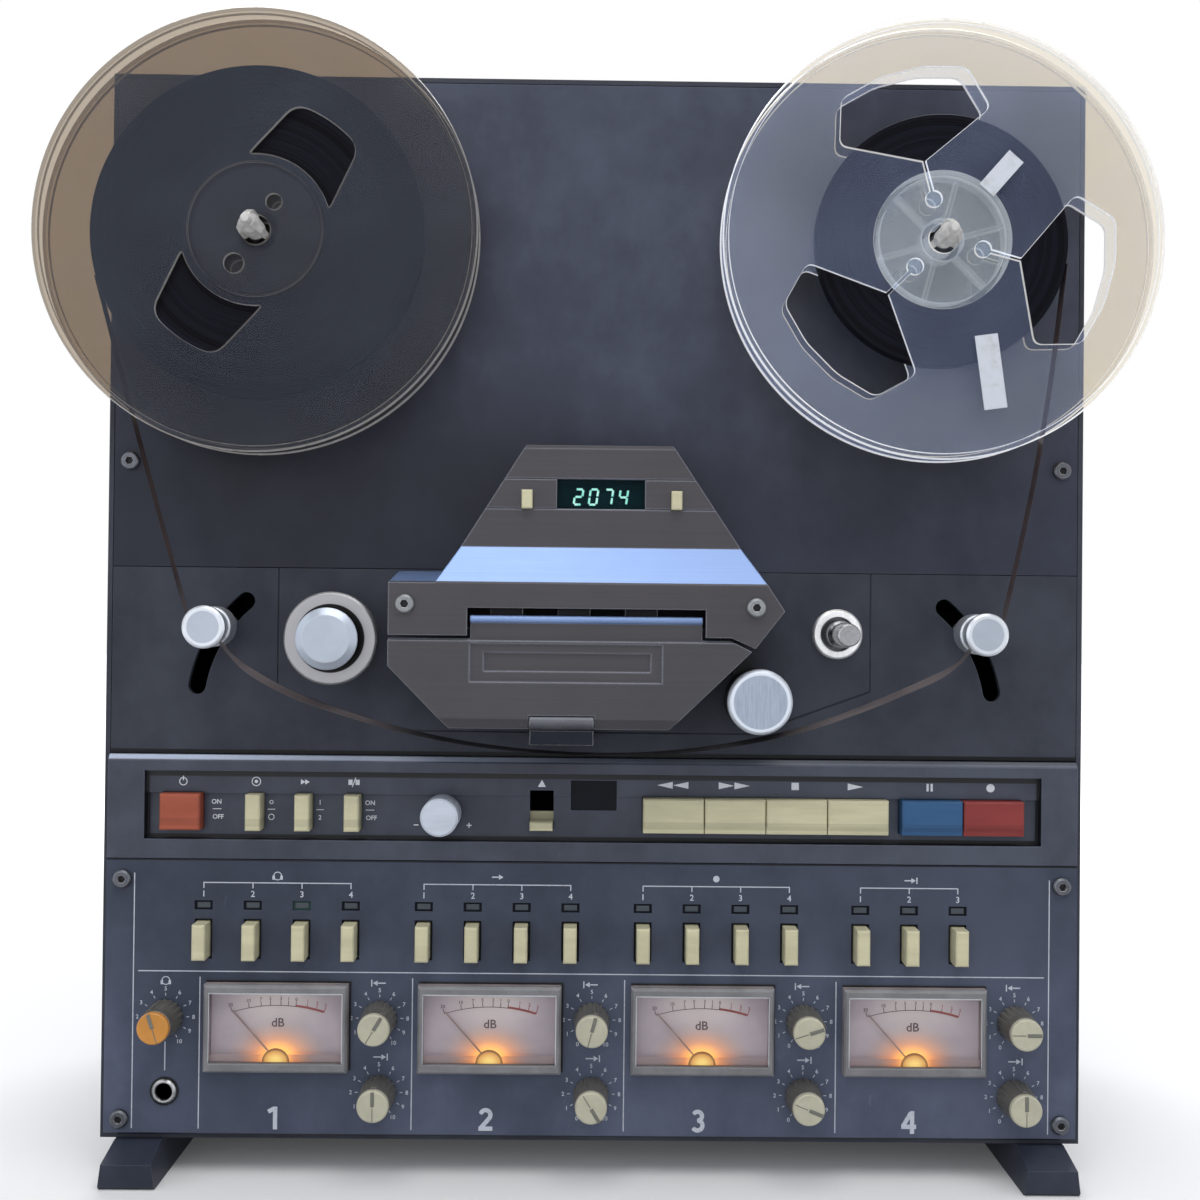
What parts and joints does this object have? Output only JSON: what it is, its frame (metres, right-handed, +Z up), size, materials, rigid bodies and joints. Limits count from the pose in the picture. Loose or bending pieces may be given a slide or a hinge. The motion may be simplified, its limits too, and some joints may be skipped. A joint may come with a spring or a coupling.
{
  "type": "reel-to-reel tape recorder",
  "caption": "Upright reel-to-reel tape recorder on skids: open reels, head cover with a flap, tension arms, pinch roller, keys, needle meters and knobs that all move.",
  "frame": {"origin": "middle of the bounding box's base, on the floor under the cabinet", "axes": "+Z up, the deck faces -Y, +X is to the right as seen from the front"},
  "size_m": [0.454, 0.256, 0.477],
  "materials": {
    "cabinet": "fine-textured dark grey paint",
    "deck": "satin dark grey paint",
    "control_face": "satin dark blue-grey paint",
    "amplifier_face": "satin blue-grey paint",
    "housing": "semi-gloss dark moulding",
    "heads": "satin metal",
    "meter_frame": "satin grey moulding",
    "clear": "clear plastic",
    "socket_metal": "bright plating",
    "skid": "matt black rubber",
    "screw_metal": "dull plated steel",
    "motor": "plain steel",
    "electronics": "board and transformer",
    "tape": "brown oxide-coated film",
    "smoked_reel": "smoked translucent plastic",
    "clear_reel": "clear plastic",
    "spindle": "turned satin metal",
    "guide": "polished steel",
    "black_metal": "black finish",
    "pinch_rubber": "black rubber with a bright cap",
    "cream_key": "cream moulding",
    "white_knob": "white moulding",
    "knob": "dark fluted body with a cream cap",
    "phones_knob": "dark fluted body with an orange cap",
    "needle": "black paint",
    "red_key": "red moulding",
    "blue_key": "blue moulding"
  },
  "bodies": {
    "recorder": {"case_shell": "cabinet", "rear_cover": "cabinet", "upper_deck_panel": "deck", "transport_panel": "deck", "control_panel": "control_face", "amplifier_panel": "amplifier_face", "head_housing": "housing", "head_block": "heads", "vu_meter_cases": "meter_frame", "clear_windows": "clear", "sockets": "socket_metal", "skid_feet": "skid", "deck_hardware": "screw_metal", "drive_motors": "motor", "electronics": "electronics", "tape": "tape"},
    "supply_reel_set": {"supply_reel": "smoked_reel", "supply_tape_pack": "tape", "supply_spindle": "spindle"},
    "takeup_reel_set": {"takeup_reel": "clear_reel", "takeup_tape_pack": "tape", "takeup_spindle": "spindle"},
    "supply_tension_arm": {"supply_tension_arm": "guide"},
    "takeup_tension_arm": {"takeup_tension_arm": "guide"},
    "impedance_roller": {"impedance_roller": "guide"},
    "capstan": {"capstan": "guide"},
    "pinch_arm": {"pinch_arm": "black_metal"},
    "pinch_roller": {"pinch_roller": "pinch_rubber"},
    "head_cover_flap": {"head_cover_flap": "housing"},
    "cue_lever": {"cue_lever": "cream_key"},
    "pitch_knob": {"pitch_knob": "white_knob"},
    "phones_knob": {"phones_knob": "phones_knob"},
    "input_knob_1": {"input_knob_1": "knob"},
    "output_knob_1": {"output_knob_1": "knob"},
    "input_knob_2": {"input_knob_2": "knob"},
    "output_knob_2": {"output_knob_2": "knob"},
    "input_knob_3": {"input_knob_3": "knob"},
    "output_knob_3": {"output_knob_3": "knob"},
    "input_knob_4": {"input_knob_4": "knob"},
    "output_knob_4": {"output_knob_4": "knob"},
    "vu_needle_1": {"vu_needle_1": "needle"},
    "vu_needle_2": {"vu_needle_2": "needle"},
    "vu_needle_3": {"vu_needle_3": "needle"},
    "vu_needle_4": {"vu_needle_4": "needle"},
    "power_button": {"power_button": "red_key"},
    "reel_size_button": {"reel_size_button": "cream_key"},
    "tape_speed_button": {"tape_speed_button": "cream_key"},
    "edit_button": {"edit_button": "cream_key"},
    "rewind_button": {"rewind_button": "cream_key"},
    "fast_forward_button": {"fast_forward_button": "cream_key"},
    "stop_button": {"stop_button": "cream_key"},
    "play_button": {"play_button": "cream_key"},
    "pause_button": {"pause_button": "blue_key"},
    "record_button": {"record_button": "red_key"},
    "zero_return_button": {"zero_return_button": "cream_key"},
    "reset_button": {"reset_button": "cream_key"},
    "phones_select_buttons": {"phones_select_buttons": "cream_key"},
    "input_select_buttons": {"input_select_buttons": "cream_key"},
    "function_select_buttons": {"function_select_buttons": "cream_key"},
    "output_select_buttons": {"output_select_buttons": "cream_key"}
  },
  "joints": [
    {"name": "supply_reel_turn", "type": "hinge", "parent": "recorder", "child": "supply_reel_set", "pos_m": [-0.138, -0.083, 0.388], "axis": [0, -1, 0], "continuous": true},
    {"name": "takeup_reel_turn", "type": "hinge", "parent": "recorder", "child": "takeup_reel_set", "pos_m": [0.138, -0.083, 0.388], "axis": [0, -1, 0], "continuous": true},
    {"name": "supply_tension_swing", "type": "hinge", "parent": "recorder", "child": "supply_tension_arm", "pos_m": [-0.1079, -0.083, 0.194], "axis": [0, 1, 0], "range_deg": [-26, 14], "stiffness_Nm_per_rad": 0.12, "springref_deg": 6.88, "deforming": ["tape"]},
    {"name": "takeup_tension_swing", "type": "hinge", "parent": "recorder", "child": "takeup_tension_arm", "pos_m": [0.1079, -0.083, 0.194], "axis": [0, -1, 0], "range_deg": [-26, 14], "stiffness_Nm_per_rad": 0.12, "springref_deg": 6.88, "deforming": ["tape"]},
    {"name": "impedance_roller_turn", "type": "hinge", "parent": "recorder", "child": "impedance_roller", "pos_m": [-0.108, -0.083, 0.2247], "axis": [0, -1, 0], "continuous": true},
    {"name": "capstan_turn", "type": "hinge", "parent": "recorder", "child": "capstan", "pos_m": [0.1014, -0.083, 0.2282], "axis": [0, -1, 0], "continuous": true},
    {"name": "pinch_arm_swing", "type": "hinge", "parent": "recorder", "child": "pinch_arm", "pos_m": [0.04966, -0.083, 0.244], "axis": [0, -1, 0], "range_deg": [0, 33.47], "stiffness_Nm_per_rad": 0.4, "springref_deg": -5.73},
    {"name": "pinch_roller_turn", "type": "hinge", "parent": "pinch_arm", "child": "pinch_roller", "pos_m": [0.066, -0.083, 0.201], "axis": [0, -1, 0], "continuous": true},
    {"name": "head_cover_flap_hinge", "type": "hinge", "parent": "recorder", "child": "head_cover_flap", "pos_m": [-0.0135, -0.1106, 0.1921], "axis": [1, 0, 0], "range_deg": [0, 90]},
    {"name": "cue_lever_slide", "type": "slide", "parent": "recorder", "child": "cue_lever", "axis": [0, 0, 1], "range_m": [0, 0.011]},
    {"name": "pitch_knob_turn", "type": "hinge", "parent": "recorder", "child": "pitch_knob", "pos_m": [-0.0634, -0.083, 0.1517], "axis": [0, 1, 0], "range_deg": [-140, 140]},
    {"name": "phones_knob_turn", "type": "hinge", "parent": "recorder", "child": "phones_knob", "pos_m": [-0.1775, -0.083, 0.0663], "axis": [0, 1, 0], "range_deg": [-132, 168]},
    {"name": "input_knob_1_turn", "type": "hinge", "parent": "recorder", "child": "input_knob_1", "pos_m": [-0.0885, -0.083, 0.0663], "axis": [0, 1, 0], "range_deg": [-181, 119]},
    {"name": "output_knob_1_turn", "type": "hinge", "parent": "recorder", "child": "output_knob_1", "pos_m": [-0.0885, -0.083, 0.0355], "axis": [0, 1, 0], "range_deg": [-150, 150]},
    {"name": "input_knob_2_turn", "type": "hinge", "parent": "recorder", "child": "input_knob_2", "pos_m": [-0.0001, -0.083, 0.0663], "axis": [0, 1, 0], "range_deg": [-165, 135]},
    {"name": "output_knob_2_turn", "type": "hinge", "parent": "recorder", "child": "output_knob_2", "pos_m": [-0.0001, -0.083, 0.0355], "axis": [0, 1, 0], "range_deg": [-298, 2]},
    {"name": "input_knob_3_turn", "type": "hinge", "parent": "recorder", "child": "input_knob_3", "pos_m": [0.0883, -0.083, 0.0663], "axis": [0, 1, 0], "range_deg": [-222, 78]},
    {"name": "output_knob_3_turn", "type": "hinge", "parent": "recorder", "child": "output_knob_3", "pos_m": [0.0883, -0.083, 0.0355], "axis": [0, 1, 0], "range_deg": [-262, 38]},
    {"name": "input_knob_4_turn", "type": "hinge", "parent": "recorder", "child": "input_knob_4", "pos_m": [0.1767, -0.083, 0.0663], "axis": [0, 1, 0], "range_deg": [-240, 60]},
    {"name": "output_knob_4_turn", "type": "hinge", "parent": "recorder", "child": "output_knob_4", "pos_m": [0.1767, -0.083, 0.0355], "axis": [0, 1, 0], "range_deg": [-150, 150]},
    {"name": "vu_needle_1_swing", "type": "hinge", "parent": "recorder", "child": "vu_needle_1", "pos_m": [-0.1309, -0.083, 0.0485], "axis": [0, 1, 0], "range_deg": [0, 84], "stiffness_Nm_per_rad": 0.0006, "springref_deg": -17.19},
    {"name": "vu_needle_2_swing", "type": "hinge", "parent": "recorder", "child": "vu_needle_2", "pos_m": [-0.0425, -0.083, 0.0485], "axis": [0, 1, 0], "range_deg": [0, 84], "stiffness_Nm_per_rad": 0.0006, "springref_deg": -17.19},
    {"name": "vu_needle_3_swing", "type": "hinge", "parent": "recorder", "child": "vu_needle_3", "pos_m": [0.0459, -0.083, 0.0485], "axis": [0, 1, 0], "range_deg": [0, 84], "stiffness_Nm_per_rad": 0.0006, "springref_deg": -17.19},
    {"name": "vu_needle_4_swing", "type": "hinge", "parent": "recorder", "child": "vu_needle_4", "pos_m": [0.1343, -0.083, 0.0485], "axis": [0, 1, 0], "range_deg": [0, 84], "stiffness_Nm_per_rad": 0.0006, "springref_deg": -17.19},
    {"name": "power_button_press", "type": "slide", "parent": "recorder", "child": "power_button", "axis": [0, 1, 0], "range_m": [0, 0.003], "stiffness_N_per_m": 250, "springref_m": -0.001},
    {"name": "reel_size_button_press", "type": "slide", "parent": "recorder", "child": "reel_size_button", "axis": [0, 1, 0], "range_m": [0, 0.004], "stiffness_N_per_m": 250, "springref_m": -0.001},
    {"name": "tape_speed_button_press", "type": "slide", "parent": "recorder", "child": "tape_speed_button", "axis": [0, 1, 0], "range_m": [0, 0.004], "stiffness_N_per_m": 250, "springref_m": -0.001},
    {"name": "edit_button_press", "type": "slide", "parent": "recorder", "child": "edit_button", "axis": [0, 1, 0], "range_m": [0, 0.004], "stiffness_N_per_m": 250, "springref_m": -0.001},
    {"name": "rewind_button_press", "type": "slide", "parent": "recorder", "child": "rewind_button", "axis": [0, 1, 0], "range_m": [0, 0.002], "stiffness_N_per_m": 250, "springref_m": -0.001},
    {"name": "fast_forward_button_press", "type": "slide", "parent": "recorder", "child": "fast_forward_button", "axis": [0, 1, 0], "range_m": [0, 0.002], "stiffness_N_per_m": 250, "springref_m": -0.001},
    {"name": "stop_button_press", "type": "slide", "parent": "recorder", "child": "stop_button", "axis": [0, 1, 0], "range_m": [0, 0.002], "stiffness_N_per_m": 250, "springref_m": -0.001},
    {"name": "play_button_press", "type": "slide", "parent": "recorder", "child": "play_button", "axis": [0, 1, 0], "range_m": [0, 0.002], "stiffness_N_per_m": 250, "springref_m": -0.001},
    {"name": "pause_button_press", "type": "slide", "parent": "recorder", "child": "pause_button", "axis": [0, 1, 0], "range_m": [0, 0.002], "stiffness_N_per_m": 250, "springref_m": -0.001},
    {"name": "record_button_press", "type": "slide", "parent": "recorder", "child": "record_button", "axis": [0, 1, 0], "range_m": [0, 0.002], "stiffness_N_per_m": 250, "springref_m": -0.001},
    {"name": "zero_return_button_press", "type": "slide", "parent": "recorder", "child": "zero_return_button", "axis": [0, 1, 0], "range_m": [0, 0.002], "stiffness_N_per_m": 250, "springref_m": -0.001},
    {"name": "reset_button_press", "type": "slide", "parent": "recorder", "child": "reset_button", "axis": [0, 1, 0], "range_m": [0, 0.002], "stiffness_N_per_m": 250, "springref_m": -0.001},
    {"name": "phones_select_button_press", "type": "slide", "parent": "recorder", "child": "phones_select_buttons", "axis": [0, 1, 0], "range_m": [0, 0.004], "stiffness_N_per_m": 250, "springref_m": -0.001},
    {"name": "input_select_button_press", "type": "slide", "parent": "recorder", "child": "input_select_buttons", "axis": [0, 1, 0], "range_m": [0, 0.004], "stiffness_N_per_m": 250, "springref_m": -0.001},
    {"name": "function_select_button_press", "type": "slide", "parent": "recorder", "child": "function_select_buttons", "axis": [0, 1, 0], "range_m": [0, 0.004], "stiffness_N_per_m": 250, "springref_m": -0.001},
    {"name": "output_select_button_press", "type": "slide", "parent": "recorder", "child": "output_select_buttons", "axis": [0, 1, 0], "range_m": [0, 0.004], "stiffness_N_per_m": 250, "springref_m": -0.001}
  ]
}
